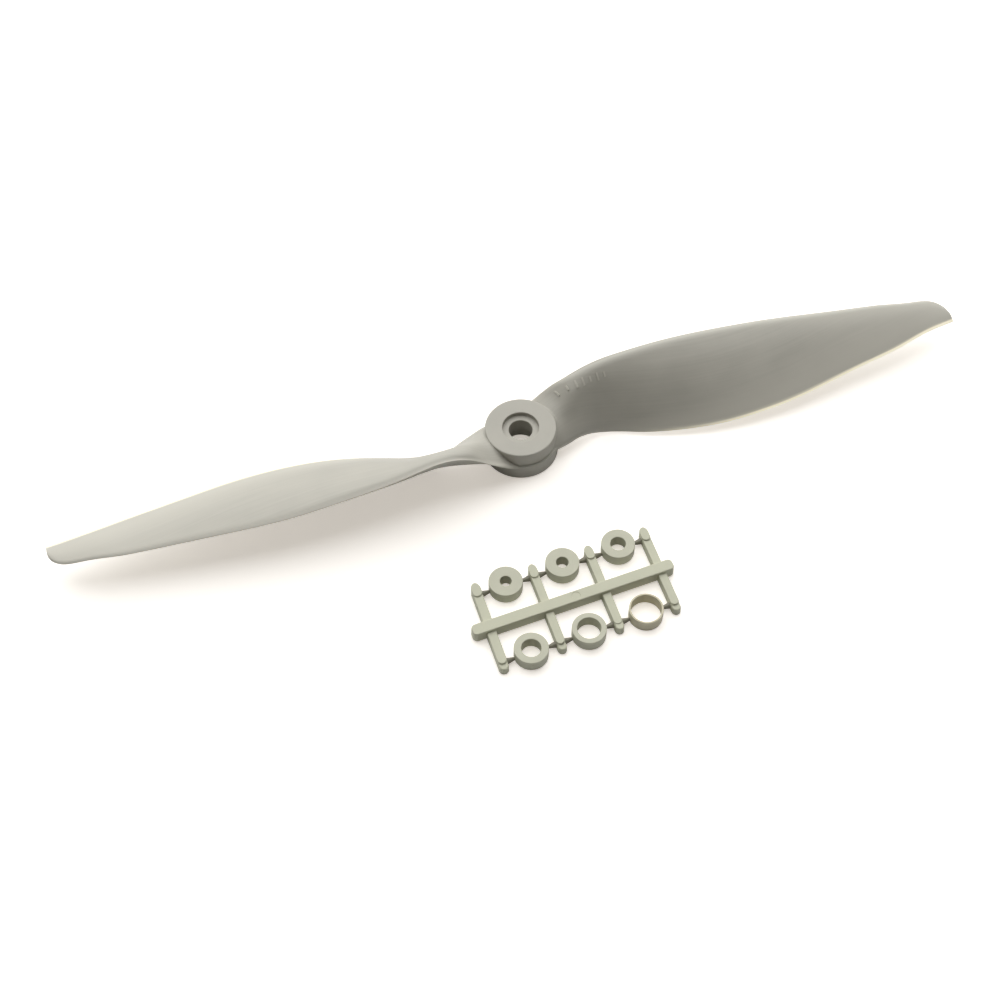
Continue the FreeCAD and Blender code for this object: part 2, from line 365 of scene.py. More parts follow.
# %% [markdown]
# ## Skins from rings of points
# The hub, the blades, the bar and the arms are all lofts: closed rings of points, one after
# another, joined by quads. One helper makes them all. Its quads run the way the shape runs, so
# light slides along them evenly, which loose CAD triangles don't allow.

# %% Loft helper
PROPELLER = "propeller"
TREE = "ring_tree"
SHARP_ANGLE = math.radians(35)


def loft(name, rings, looped=False):
    """A mesh from rings of equal length. A looped loft joins its last ring to its first."""
    count = len(rings[0])
    points = np.concatenate(rings)
    faces = []
    steps = len(rings) if looped else len(rings) - 1
    for step in range(steps):
        near = step * count
        far = (step + 1) % len(rings) * count
        for place in range(count):
            after = (place + 1) % count
            faces.append((near + place, near + after, far + after, far + place))
    if not looped:
        faces.append(tuple(reversed(range(count))))
        faces.append(tuple(range(len(points) - count, len(points))))
    mesh = bpy.data.meshes.new(name)
    mesh.from_pydata(points.tolist(), [], faces)
    return mesh


def piece_from(name, mesh, material):
    """An object at the origin with outward faces, smooth shading and one finish."""
    work = bmesh.new()
    work.from_mesh(mesh)
    bmesh.ops.recalc_face_normals(work, faces=work.faces)
    work.to_mesh(mesh)
    work.free()
    mesh.polygons.foreach_set("use_smooth", [True] * len(mesh.polygons))
    mesh.set_sharp_from_angle(angle=SHARP_ANGLE)
    mesh.materials.append(material)
    piece = bpy.data.objects.new(name, mesh)
    bpy.context.scene.collection.objects.link(piece)
    return piece


def settle(piece, body, slot, *nodes):
    """Rides the piece on its body and hides the CAD nodes it stands for. The slot is not used."""
    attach(piece, body)
    if nodes:
        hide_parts(*nodes)
    print(piece.name, "on", body, "with", len(piece.data.polygons), "faces")


def cad_points(node):
    """The places of a CAD node's mesh points, as rows of an array."""
    mesh = frame["nodes"][node].data
    values = np.empty(len(mesh.vertices) * 3)
    mesh.vertices.foreach_get("co", values)
    return values.reshape(-1, 3)


print("loft helper ready")

# %% [markdown]
# ## Hub
# The hub is turned: a profile carried round the shaft's axis. The profile is a short list of
# corners with a small round on each, and a pair of points close beside every round keeps the
# flat faces flat when they are shaded smooth. The step half-way up the wall is where the two
# halves of the mould meet.

# %% Rounded profiles
ROUND_STEPS = 4
HOLD = 0.04 * MM


def rounded_profile(corners):
    """A closed profile from (radius, height, round) corners, in metres."""
    points = [Vector(corner[:2]) for corner in corners]
    profile = []
    for index, (here, corner) in enumerate(zip(points, corners)):
        before = points[index - 1] - here
        after = points[(index + 1) % len(points)] - here
        half = before.angle(after) / 2
        size = corner[2]
        reach = size / math.tan(half)
        inward = (before.normalized() + after.normalized()).normalized()
        middle = here + inward * size / math.sin(half)
        start = here + before.normalized() * reach
        end = here + after.normalized() * reach
        profile.append(start + before.normalized() * HOLD)
        for step in range(ROUND_STEPS + 1):
            spoke = (start - middle).lerp(end - middle, step / ROUND_STEPS)
            profile.append(middle + spoke.normalized() * size)
        profile.append(end + after.normalized() * HOLD)
    return profile


print("rounded profile helper ready")

# %% Hub
HUB_TURNS = 144
SOFT_EDGE = 0.35 * MM
CRISP_EDGE = 0.12 * MM
WORN_EDGE = 1.5 * CRISP_EDGE
DRAFT = 0.05 * MM


def mount_size(name, label):
    """One dimension of a mount in the record."""
    mount = next(item for item in frame["record"]["mounts"] if item["name"] == name)
    return mount["dims"][label] * MM


hub_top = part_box("hub")[1].z
hub_cloud = cad_points("hub")
hub_radii = np.hypot(hub_cloud[:, 0], hub_cloud[:, 1])
HUB_BACK = float(hub_radii.max())
PARTING = float(hub_cloud[hub_radii > HUB_BACK - 0.01 * MM, 2].max())
HUB_FRONT = float(hub_radii[hub_cloud[:, 2] > PARTING + MM].max())
BORE = mount_size("shaft_bore", "r_mm")
SEAT = mount_size("ring_seat", "r_mm")
SEAT_TOP = mount_size("ring_seat", "length_mm")
RECESS = mount_size("front_recess", "r_mm")
RECESS_FLOOR = hub_top - mount_size("front_recess", "length_mm")


def hub():
    """The hub, turned from its profile; each point keeps its distance from the axis."""
    corners = (
        (BORE, SEAT_TOP, CRISP_EDGE),
        (SEAT, SEAT_TOP, CRISP_EDGE),
        (SEAT, 0, CRISP_EDGE),
        (HUB_BACK - DRAFT, 0, SOFT_EDGE),
        (HUB_BACK, PARTING, WORN_EDGE),
        (HUB_FRONT, PARTING, CRISP_EDGE),
        (HUB_FRONT - DRAFT, hub_top, SOFT_EDGE),
        (RECESS, hub_top, WORN_EDGE),
        (RECESS, RECESS_FLOOR, CRISP_EDGE),
        (BORE, RECESS_FLOOR, WORN_EDGE),
    )
    profile = rounded_profile(corners)
    rings = []
    for turn in range(HUB_TURNS):
        angle = 2 * math.pi * turn / HUB_TURNS
        spoke = Vector((math.cos(angle), math.sin(angle), 0))
        rings.append([(*(spoke * spot[0]).xy, spot[1]) for spot in profile])
    mesh = loft("hub_turned", np.array(rings), looped=True)
    radius = np.hypot(*np.array([vertex.co.xy for vertex in mesh.vertices]).T)
    mesh.attributes.new("from_axis", "FLOAT", "POINT").data.foreach_set("value", radius)
    return piece_from("hub_turned", mesh, HUB_NYLON)


settle(hub(), PROPELLER, "blade_nylon", "hub")

# %% [markdown]
# ## Blades
# A blade twists by the constant-pitch rule, thins out to the tip and swells into an oval root.
# The CAD solid has that shape already, so the skin is measured from it. The solid is cut by a
# row of surfaces: round ones about the shaft near the hub, which turn slowly into flat ones
# further out. Each cut is a closed section, and every section gets the same number of points,
# close together at the two edges. Lofted, they make one even skin with a map along the span.

# %% Cut the CAD blade into sections
HALF_POINTS = 26
TAIL_REACH = 0.12 * MM
NUDGE = 0.03 * MM
SAME_POINT = 0.5 * MM * MM
LONGEST_STEP = 1.0 * MM
ROOT_STEP = 0.12 * MM
ROOT_GROWTH = 0.10
TIP_STEP = 0.15 * MM
TIP_GROWTH = 0.12
FLAT_FROM = 2.4


def stations(start, end):
    """How far out each cut is and how round it is: 1 is round about the shaft, 0 is flat."""
    reach = start
    row = []
    while reach < end:
        row.append(reach)
        from_root = ROOT_STEP + ROOT_GROWTH * (reach - start)
        from_tip = TIP_STEP + TIP_GROWTH * (end - reach)
        reach += min(LONGEST_STEP, from_root, from_tip)
    row.append(end)
    flat_from = FLAT_FROM * start
    return [(item, max(0.0, 1 - (item - start) / (flat_from - start))) for item in row]


def merged(node):
    """A node's points with doubles merged, and its triangles."""
    cloud = cad_points(node)
    keys = np.round(cloud / SAME_POINT).astype(np.int64)
    _, first, same = np.unique(keys, axis=0, return_index=True, return_inverse=True)
    mesh = frame["nodes"][node].data
    corners = np.empty(3 * len(mesh.polygons), dtype=np.int64)
    mesh.polygons.foreach_get("vertices", corners)
    return cloud[first], np.ravel(same)[corners].reshape(-1, 3)


def cut(points, triangles, reach, roundness):
    """The closed line where the surface x^2 + (roundness y)^2 = reach^2 cuts the mesh.

    Where the mesh is torn the line can't be followed, so the cut moves in a little.
    """
    level = np.hypot(points[:, 0], roundness * points[:, 1]) - reach
    inside = level < 0
    crossed = triangles[(inside[triangles].sum(axis=1) % 3) > 0]
    links = {}
    for corners in crossed:
        pairs = [tuple(sorted(pair)) for pair in zip(corners, np.roll(corners, 1))]
        start, end = [pair for pair in pairs if inside[pair[0]] != inside[pair[1]]]
        links.setdefault(start, []).append(end)
        links.setdefault(end, []).append(start)
    if any(len(ends) != 2 for ends in links.values()):
        return cut(points, triangles, reach - NUDGE, roundness)
    line = [next(iter(links))]
    onward = links[line[0]][0]
    while onward != line[0]:
        before = line[-1]
        line.append(onward)
        onward = next(pair for pair in links[onward] if pair != before)
    first, second = np.array(line).T
    share = level[first] / (level[first] - level[second])
    return points[first] + share[:, None] * (points[second] - points[first])


def chord_angle(spots):
    """The slope of the line from the section's tail to its nose, seen along the span."""
    nose = spots[np.argmax(spots[:, 1])]
    tail = spots[np.argmin(spots[:, 1])]
    return math.atan2(nose[2] - tail[2], nose[1] - tail[1])


def spread(path):
    """The path's points placed anew along its length, closest together at its ends."""
    steps = np.linalg.norm(np.diff(path, axis=0), axis=1)
    where = np.concatenate([[0], np.cumsum(steps)])
    places = 0.5 * (1 - np.cos(np.pi * np.arange(HALF_POINTS + 1) / HALF_POINTS)) * where[-1]
    return np.array([np.interp(places, where, path[:, axis]) for axis in range(3)]).T


def evened(spots, angle):
    """One closed section with the same number of points: tail, upper side, nose, lower side."""
    along = spots[:, 1] * math.cos(angle) + spots[:, 2] * math.sin(angle)
    rise = spots[:, 2] * math.cos(angle) - spots[:, 1] * math.sin(angle)
    start = int(np.argmax(along))
    spots, along, rise = (np.roll(values, -start, axis=0) for values in (spots, along, rise))
    if rise[len(rise) // 4] < rise[-(len(rise) // 4)]:
        spots, along, rise = (np.roll(values[::-1], 1, axis=0) for values in (spots, along, rise))
    at_tail = np.flatnonzero(along < along.min() + TAIL_REACH)
    high, low = at_tail[np.argmax(rise[at_tail])], at_tail[np.argmin(rise[at_tail])]
    above = spread(spots[:high + 1])[::-1]
    below = spread(np.concatenate([spots[low:], spots[:1]]))[::-1]
    tail = (spots[high] + spots[low]) / 2
    return np.concatenate([[tail], above, below[1:]])


def smoothed(values, times):
    """Evens out a row of values or points along the span, keeping its ends."""
    values = np.array(values)
    for _ in range(times):
        values[1:-1] = 0.25 * values[:-2] + 0.5 * values[1:-1] + 0.25 * values[2:]
    return values


blade_cloud, blade_triangles = merged("blade_right")
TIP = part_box("blade_right")[1].x
BLADE_START = HUB_BACK + 0.03 * MM
BLADE_END = TIP - 0.02 * MM
ANGLE_PASSES = 12
SKIN_PASSES = 2
BLADE_ROW = stations(BLADE_START, BLADE_END)
cuts = [cut(blade_cloud, blade_triangles, *row) for row in BLADE_ROW]
angles = smoothed([chord_angle(spots) for spots in cuts], ANGLE_PASSES)
evened_cuts = [evened(spots, angle) for spots, angle in zip(cuts, angles)]
sections = smoothed(evened_cuts, SKIN_PASSES)
print("blade sections:", sections.shape)

# %% [markdown]
# Where the blade meets the hub the mould has a small round, so the skin is pushed outwards
# there, by exactly as much as a quarter circle needs at each distance from the wall. Thin nylon
# lets light through, and that light is painted into the colour by two masks kept with the
# points: a broad one that paints the blade lighter where it has almost no thickness, and a
# narrow one that paints cream lines along its edges.

# %% Root round and edges
ROOT_ROUND = 0.5 * MM
ROOT_MARGIN = 0.3 * MM
SLOPE_ROW = 6
TAIL_SIDE = 0.08
TAIL_BLEND = 0.15
NOSE_SIDE = 0.75
NOSE_BLEND = 0.25
INSIDE_STEPS = (1.2 * MM, 0.7 * MM, 0.45 * MM, 0.3 * MM, 0.15 * MM)
NOSE_POINT = HALF_POINTS + 1
LEAF_FROM = 1.7 * MM
LEAF_FULL = 0.8 * MM
TAIL_LINE = 1.0 * MM
NOSE_LINE = 0.5 * MM
NOSE_SHARE = 0.7
LINE_START = 30 * MM
LINE_FADE = 35 * MM


def around(count):
    """How far each point of a section is from the tail: 0 at the tail and 1 at the nose."""
    places = np.arange(count)
    return np.minimum(places, count - places) / NOSE_POINT


def rounded_root(rings):
    """Carries the skin into the hub's wall and swells it where it meets the wall."""
    run = rings[SLOPE_ROW] - rings[0]
    slope = run / np.linalg.norm(run, axis=1)[:, None]
    inner = [rings[0] - slope * reach for reach in INSIDE_STEPS]
    rings = np.concatenate([inner, rings])
    way = np.roll(rings, -2, axis=1) - np.roll(rings, 2, axis=1)
    normal = np.stack([np.zeros(way.shape[:2]), way[:, :, 2], -way[:, :, 1]], axis=2)
    normal /= np.linalg.norm(normal, axis=2)[:, :, None]
    if np.sum(normal * (rings - rings.mean(axis=1)[:, None])) < 0:
        normal = -normal
    wall = np.where(rings[:, :, 2] > PARTING, HUB_FRONT, HUB_BACK)
    gap = np.hypot(rings[:, :, 0], rings[:, :, 1]) - wall
    left = np.clip(ROOT_ROUND - gap, 0, ROOT_ROUND)
    swell = ROOT_ROUND - np.sqrt(ROOT_ROUND ** 2 - left ** 2)
    headroom = np.clip((hub_top - ROOT_MARGIN - rings[:, :, 2]) / ROOT_ROUND, 0, 1)
    footroom = np.clip((rings[:, :, 2] - ROOT_MARGIN) / ROOT_ROUND, 0, 1)
    place = around(rings.shape[1])
    share = np.clip((place - TAIL_SIDE) / TAIL_BLEND, 0, 1)
    share = share * np.clip((NOSE_SIDE - place) / NOSE_BLEND, 0, 1)
    return rings + normal * (swell * headroom * footroom * share)[:, :, None]


def painted_light_mask(rings):
    """Painted light: 1 where the blade has almost no thickness, 0 where it is thick, fading to
    nose.
    """
    above = 1 + np.arange(HALF_POINTS)
    below = rings.shape[1] - above
    gap = np.linalg.norm(rings[:, above] - rings[:, below], axis=2)
    thin_painted_light = np.clip((LEAF_FROM - gap) / (LEAF_FROM - LEAF_FULL), 0, 1)
    mask = np.zeros(rings.shape[:2])
    mask[:, above] = thin_painted_light
    mask[:, below] = thin_painted_light
    mask[:, 0] = thin_painted_light[:, 0]
    mask[:, NOSE_POINT] = thin_painted_light[:, -1]
    return mask


def edge_mask(rings):
    """Painted light: cream lines where light comes through the tail's face and under the nose."""
    last = rings.shape[1] - 1
    from_tail = np.linalg.norm(rings - rings[:, :1], axis=2)
    from_nose = np.linalg.norm(rings - rings[:, NOSE_POINT:NOSE_POINT + 1], axis=2)
    line = np.clip((TAIL_LINE - from_tail) / TAIL_LINE * 2, 0, 1)
    line[:, [0, 1, last]] = 1
    nose_line = NOSE_SHARE * np.clip((NOSE_LINE - from_nose) / NOSE_LINE * 2, 0, 1)
    under = slice(NOSE_POINT + 1, last)
    line[:, under] = np.maximum(line[:, under], nose_line[:, under])
    reach = rings[:, :, 0].mean(axis=1)
    return line * np.clip((reach - LINE_START) / LINE_FADE, 0, 1)[:, None]


skin = rounded_root(sections)
# both masks are painted light: a broad lightening, and cream lines along the edges
masks = {"painted_light": painted_light_mask(skin), "thin_painted_light": edge_mask(skin)}
print("blade skin:", skin.shape, "leaf share:", round(float(masks["painted_light"].mean()), 3))

# %% Blades
MAP_UNIT = 100.0


def blade_map(mesh, rings):
    """A map in centimetres: first along the span, then from the tail edge to the nose."""
    count = rings.shape[1]
    span = rings[:, :, 0].mean(axis=1)
    steps = np.linalg.norm(np.diff(rings[:, :HALF_POINTS + 2], axis=1), axis=2)
    climb = np.concatenate([np.zeros((len(rings), 1)), np.cumsum(steps, axis=1)], axis=1)
    girth = np.concatenate([climb, climb[:, 1:HALF_POINTS + 1][:, ::-1]], axis=1)
    corners = np.array([loop.vertex_index for loop in mesh.loops])
    values = np.stack([span[corners // count], girth[corners // count, corners % count]], axis=1)
    layer = mesh.uv_layers.new(name="span_map")
    layer.data.foreach_set("uv", (values * MAP_UNIT).ravel())


def blade(name, sign):
    """The blade on +X, or the same blade turned half a turn about the shaft."""
    turned = skin * np.array([sign, sign, 1])
    mesh = loft(name, turned)
    blade_map(mesh, skin)
    for label, mask in masks.items():
        mesh.attributes.new(label, "FLOAT", "POINT").data.foreach_set("value", mask.ravel())
    return piece_from(name, mesh, BLADE_NYLON)


settle(blade("blade_right_skin", 1), PROPELLER, "blade_nylon", "blade_right")
settle(blade("blade_left_skin", -1), PROPELLER, "blade_nylon", "blade_left")

# %% [markdown]
# ## Raised bars on the right blade
# A maker's size mark is cut into the mould, so it stands up from the blade near the hub. Plain
# bars take its place here. They follow the curved skin, which is a job for Geometry Nodes: each
# bar is a point with the skin's outward direction, and the tree stands a small block on it.

# %% Helpers for geometry trees
def geometry_tree(name, inputs):
    """A new tree with named inputs (name, socket type) and a geometry output."""
    tree = bpy.data.node_groups.new(name, "GeometryNodeTree")
    tree.interface.new_socket("Geometry", in_out="INPUT", socket_type="NodeSocketGeometry")
    for label, kind in inputs:
        tree.interface.new_socket(label, in_out="INPUT", socket_type="NodeSocket" + kind)
    tree.interface.new_socket("Geometry", in_out="OUTPUT", socket_type="NodeSocketGeometry")
    return tree, tree.nodes.new("NodeGroupInput"), tree.nodes.new("NodeGroupOutput")


def step_node(tree, kind, links=(), values=(), **settings):
    """Adds a node, sets its settings and plain values, and links sockets into it."""
    node = tree.nodes.new(kind)
    for label, value in settings.items():
        setattr(node, label, value)
    for label, value in values:
        node.inputs[label].default_value = value
    for label, source in links:
        wire(tree, source, node.inputs[label])
    return node


def marked_points(spots, marks):
    """A mesh of loose points, each with its own numbers or directions for a tree to read."""
    mesh = bpy.data.meshes.new("start_points")
    mesh.from_pydata(spots, [], [])
    for label, values in marks.items():
        if np.ndim(values) == 1:
            mesh.attributes.new(label, "FLOAT", "POINT").data.foreach_set("value", values)
        else:
            layer = mesh.attributes.new(label, "FLOAT_VECTOR", "POINT")
            layer.data.foreach_set("vector", np.ravel(values))
    return mesh


def grown(name, tree, base, values):
    """Runs a geometry tree on a base mesh and returns the result as a plain object."""
    piece = bpy.data.objects.new(name, base)
    bpy.context.scene.collection.objects.link(piece)
    modifier = piece.modifiers.new("shape", "NODES")
    modifier.node_group = tree
    for socket in tree.interface.items_tree:
        if socket.in_out == "INPUT" and socket.name in values:
            modifier[socket.identifier] = values[socket.name]
    bpy.context.view_layer.update()
    ready = piece.evaluated_get(bpy.context.evaluated_depsgraph_get())
    mesh = bpy.data.meshes.new_from_object(ready)
    piece.modifiers.clear()
    piece.data = mesh
    mesh.name = name
    return piece


print("geometry helpers ready")

# %% Raised bars
TICK_REACHES = (13.0, 15.2, 17.4, 19.6, 21.8, 24.0, 26.2)
TICK_LENGTHS = (2.2, 1.4, 2.2, 2.2, 1.4, 2.2, 1.4)
TICK_PLACE = 19
TICK_WIDTH = 0.5 * MM
TICK_RISE = 0.42 * MM
TICK_OVERLAP = 0.1 * MM


def bar_maker():
    """Stands a block on every point: as long as the point says, and upright on the skin."""
    inputs = (("Width", "Float"), ("Rise", "Float"), ("Finish", "Material"))
    tree, inlet, outlet = geometry_tree("raised_bar_maker", inputs)
    block = step_node(tree, "GeometryNodeMeshCube", (), (("Size", (1, 1, 1)),))
    up = step_node(tree, "GeometryNodeInputNamedAttribute", (), (("Name", "outward"),),
                   data_type="FLOAT_VECTOR")
    way = step_node(tree, "GeometryNodeInputNamedAttribute", (), (("Name", "crosswise"),),
                    data_type="FLOAT_VECTOR")
    length = step_node(tree, "GeometryNodeInputNamedAttribute", (), (("Name", "length"),))
    stand = step_node(tree, "FunctionNodeAlignRotationToVector",
                      (("Vector", up.outputs[0]),), axis="Z")
    turn = step_node(tree, "FunctionNodeAlignRotationToVector",
                     (("Rotation", stand.outputs[0]), ("Vector", way.outputs[0])),
                     axis="Y", pivot_axis="Z")
    links = (("X", inlet.outputs["Width"]), ("Y", length.outputs[0]), ("Z", inlet.outputs["Rise"]))
    size = step_node(tree, "ShaderNodeCombineXYZ", links)
    links = (("Points", inlet.outputs[0]), ("Instance", block.outputs[0]),
             ("Rotation", turn.outputs[0]), ("Scale", size.outputs[0]))
    placed = step_node(tree, "GeometryNodeInstanceOnPoints", links)
    real = step_node(tree, "GeometryNodeRealizeInstances", (("Geometry", placed.outputs[0]),))
    # painted highlight: the bars are marked for painted light, so the finish paints them lighter
    pale = step_node(tree, "GeometryNodeStoreNamedAttribute", (("Geometry", real.outputs[0]),),
                     (("Name", "painted_light"), ("Value", 1.0)))
    links = (("Geometry", pale.outputs[0]), ("Material", inlet.outputs["Finish"]))
    wire(tree, step_node(tree, "GeometryNodeSetMaterial", links).outputs[0], outlet.inputs[0])
    return tree


def raised_bars():
    """Each bar is two blocks end to end, so that it bends with the skin."""
    reach = skin[:, TICK_PLACE, 0]
    spots, outward, crosswise, lengths = [], [], [], []
    for wanted, length in zip(TICK_REACHES, TICK_LENGTHS):
        row = int(np.argmin(abs(reach - wanted * MM)))
        span = skin[row + 1, TICK_PLACE] - skin[row - 1, TICK_PLACE]
        for side in (-1, 1):
            cross = (skin[row, TICK_PLACE + side] - skin[row, TICK_PLACE]) * side
            way = Vector(cross).normalized()
            spots.append(Vector(skin[row, TICK_PLACE]) + way * (side * length * MM / 4))
            outward.append(Vector(np.cross(span, cross)).normalized())
            crosswise.append(way)
            lengths.append(length * MM / 2 + TICK_OVERLAP)
    base = marked_points(spots, {"outward": outward, "crosswise": crosswise, "length": lengths})
    values = {"Width": TICK_WIDTH, "Rise": TICK_RISE, "Finish": BLADE_NYLON}
    return grown("raised_bars", bar_maker(), base, values)


settle(raised_bars(), PROPELLER, "blade_nylon")

# %% [markdown]
# ## The tree's own directions
# The tree lies a little askew, and its arms lean. Both directions come from the middles of the
# rings: along a row for the runner bar, and from the near row to the far row for the arms.

# %% Tree directions
def middle_of(node):
    """The middle of a node's box."""
    low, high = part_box(node)
    return (low + high) / 2


def flat_direction(start, end):
    """The level direction from one node's middle to another's."""
    step = middle_of(end) - middle_of(start)
    return Vector((step.x, step.y, 0)).normalized()


UP = Vector((0, 0, 1))
ALONG = flat_direction("adapter_ring_1", "adapter_ring_3")
ACROSS = UP.cross(ALONG)
LEAN = flat_direction("adapter_ring_4", "adapter_ring_1")
LEAN_SIDE = LEAN.cross(UP)
BAR_MIDDLE = middle_of("runner_bar")


def measured(node, origin, side, forward):
    """Lowest and highest reach of a node along two flat directions and in height."""
    cloud = cad_points(node) - np.array(origin)
    sizes = cloud @ np.array([side, forward, UP]).T
    return sizes.min(axis=0), sizes.max(axis=0)


print("tree turned", round(math.degrees(ALONG.angle(Vector((1, 0, 0)))), 2), "degrees")

# %% [markdown]
# ## Runner bar and arms
# These fill plain channels cut into the mould, so each is a flat outline with slightly sloped
# sides and soft edges. An outline is drawn once, and stacked rings of it, each drawn in
# a little further, make the foot, the sloped wall and the round at the top.

# %% Outlines and stacks
ARC_STEPS = 12
SLOPE = 0.10 * MM
EGG_STRETCH = 1.5
SMALLEST_CORNER = 0.05 * MM


def arc(x, y, radius, start, end):
    """Points of an arc; the angles are in quarter turns."""
    turns = [start + (end - start) * step / ARC_STEPS for step in range(ARC_STEPS + 1)]
    return [
        (x + radius * math.cos(turn * math.pi / 2), y + radius * math.sin(turn * math.pi / 2))
        for turn in turns
    ]


def slab_outline(half_x, half_y, corner):
    """A rectangle with round corners, as a function of how far it is drawn in."""
    def outline(inset):
        radius = max(corner - inset, SMALLEST_CORNER)
        x = half_x - inset - radius
        y = half_y - inset - radius
        return (arc(x, -y, radius, 3, 4) + arc(x, y, radius, 0, 1)
                + arc(-x, y, radius, 1, 2) + arc(-x, -y, radius, 2, 3))
    return outline


def round_end(half, end, inset, stretch):
    """Half an oval that ends a bar: as wide as the bar, and stretched along it."""
    reach = (stretch * half - inset) / (half - inset)
    return [(x, end - stretch * half + y * reach) for x, y in arc(0, 0, half - inset, 0, 2)]


def bullet_outline(half, start, end, stretch=1.0):
    """A straight bar with one round end, from start to end along its length."""
    def outline(inset):
        side = half - inset
        return round_end(half, end, inset, stretch) + [(-side, start), (side, start)]
    return outline


def egg_outline(half, start, end):
    """A bar with an egg-shaped far end and a flat arch at its near end."""
    def outline(inset):
        arch = [(-x, start + half - y * (half - inset) / half)
                for x, y in arc(0, 0, half - inset, 0, 2)]
        return round_end(half, end, inset, EGG_STRETCH) + arch
    return outline


def stacked(name, outline, low, high, foot, round_size, place, slope=SLOPE):
    """A mesh of outlines stacked from low to high; place turns (x, y, z) into a model place."""
    levels = [(low, foot + HOLD + slope / 2), (low, foot), (low + max(foot, HOLD), 0)]
    for step in range(ROUND_STEPS + 1):
        turn = math.pi / 2 * step / ROUND_STEPS
        rise = high - round_size * (1 - math.sin(turn))
        levels.append((rise, slope + round_size * (1 - math.cos(turn))))
    levels.append((high, slope + round_size + HOLD))
    rings = [[place(x, y, height) for x, y in outline(inset)] for height, inset in levels]
    return loft(name, np.array(rings))


print("outline helpers ready")

# %% Runner bar
BAR_ROUND = 0.28 * MM
BAR_CORNER = 1.25 * MM
BAR_FOOT = 0.5 * MM
MARK_SIDES = 48
MARK_REACH = 1.3 * MM
MARK_SHALLOW = 0.05 * MM
MARK_DEEP = 0.15 * MM


def on_bar(x, y, z):
    """Turns a place along, across and above into a place in the model."""
    return tuple(BAR_MIDDLE + ALONG * x + ACROSS * y + UP * (z - BAR_MIDDLE.z))


def marked(bar, top):
    """Cuts the round sink mark into the bar's top, where the CAD has it."""
    cloud = cad_points("runner_bar")
    along, across = abs((cloud - BAR_MIDDLE) @ np.array([ALONG, ACROSS]).T).T
    inner = cloud[(along < 2 * MARK_REACH) & (across < MARK_REACH)]
    under_top = top - inner[:, 2]
    floor = inner[(under_top > MARK_SHALLOW) & (under_top < MARK_DEEP)]
    middle = (floor.min(axis=0) + floor.max(axis=0)) / 2
    radius = (floor[:, 1].max() - floor[:, 1].min()) / 2
    depth = top - middle[2]
    work = bmesh.new()
    bmesh.ops.create_cone(work, cap_ends=True, segments=MARK_SIDES, radius1=radius,
                          radius2=radius + depth, depth=2 * depth,
                          matrix=Matrix.Translation((middle[0], middle[1], top)))
    cutter_mesh = bpy.data.meshes.new("mark_cutter")
    work.to_mesh(cutter_mesh)
    work.free()
    cutter = bpy.data.objects.new("mark_cutter", cutter_mesh)
    bpy.context.scene.collection.objects.link(cutter)
    cut_out = bar.modifiers.new("mark", "BOOLEAN")
    cut_out.object = cutter
    bpy.context.view_layer.update()
    ready = bar.evaluated_get(bpy.context.evaluated_depsgraph_get())
    mesh = bpy.data.meshes.new_from_object(ready)
    bar.modifiers.clear()
    bar.data = mesh
    bpy.data.objects.remove(cutter)
    print("sink mark radius", round(radius / MM, 2), "mm, depth", round(depth / MM, 2), "mm")
    return bar


def runner_bar():
    """The bar with its soft edges and its sink mark."""
    low, high = measured("runner_bar", BAR_MIDDLE, ALONG, ACROSS)
    outline = slab_outline(high[0], high[1], BAR_CORNER)
    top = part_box("runner_bar")[1].z
    mesh = stacked("runner_bar_moulded", outline, 0, top, BAR_FOOT, BAR_ROUND, on_bar)
    bar = piece_from("runner_bar_moulded", mesh, TREE_NYLON)
    return marked(bar, top)


settle(runner_bar(), TREE, "runner_nylon", "runner_bar")

# %% Arms, toes and ejector pads
ARM_ROUND = 0.22 * MM
TOE_ROUND = 0.35 * MM
ARM_SLOPE = 0.07 * MM
INTO_BAR = 0.5 * MM


def arm_piece(label, kind, round_size, foot, outline):
    """One arm, toe or pad, measured from its CAD node along the arm's own direction."""
    node = kind + "_" + label
    low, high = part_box(node)
    front = middle_of("arm_front_" + label)
    origin = front - LEAN * ((front - BAR_MIDDLE).dot(ACROSS) / LEAN.dot(ACROSS))
    origin.z = 0
    near, far = measured(node, origin, LEAN_SIDE, LEAN)
    half = (far[0] - near[0]) / 2
    shift = (far[0] + near[0]) / 2
    sign = 1 if near[1] + far[1] > 0 else -1
    start, end = sorted((abs(near[1]), abs(far[1])))

    def place(x, y, z):
        return tuple(origin + LEAN_SIDE * (sign * x + shift) + LEAN * (sign * y) + UP * z)

    shape = outline(half, start, end)
    mesh = stacked(node + "_moulded", shape, low.z, high.z, foot, round_size, place, ARM_SLOPE)
    return piece_from(node + "_moulded", mesh, TREE_NYLON)


def full_arm(half, start, end):
    """A straight arm that starts inside the bar."""
    return bullet_outline(half, start - INTO_BAR, end)


def egg_arm(half, start, end):
    """The same with an egg-shaped end."""
    return bullet_outline(half, start - INTO_BAR, end, EGG_STRETCH)


def toe_end(half, start, end):
    """A short bar with one round end."""
    return bullet_outline(half, start, end)


ARM_FOOT = 0.12 * MM
PAD_ROUND = 0.12 * MM
ARM_KINDS = (
    ("arm_rear", ARM_ROUND, ARM_FOOT, egg_arm),
    ("arm_front", ARM_ROUND, ARM_FOOT, full_arm),
    ("arm_toe", TOE_ROUND, ARM_FOOT, toe_end),
    ("ejector_pad", PAD_ROUND, 0.0, egg_outline),
)
for label in "1234":
    for kind, round_size, foot, outline in ARM_KINDS:
        arm = arm_piece(label, kind, round_size, foot, outline)
        settle(arm, TREE, "runner_nylon", kind + "_" + label)

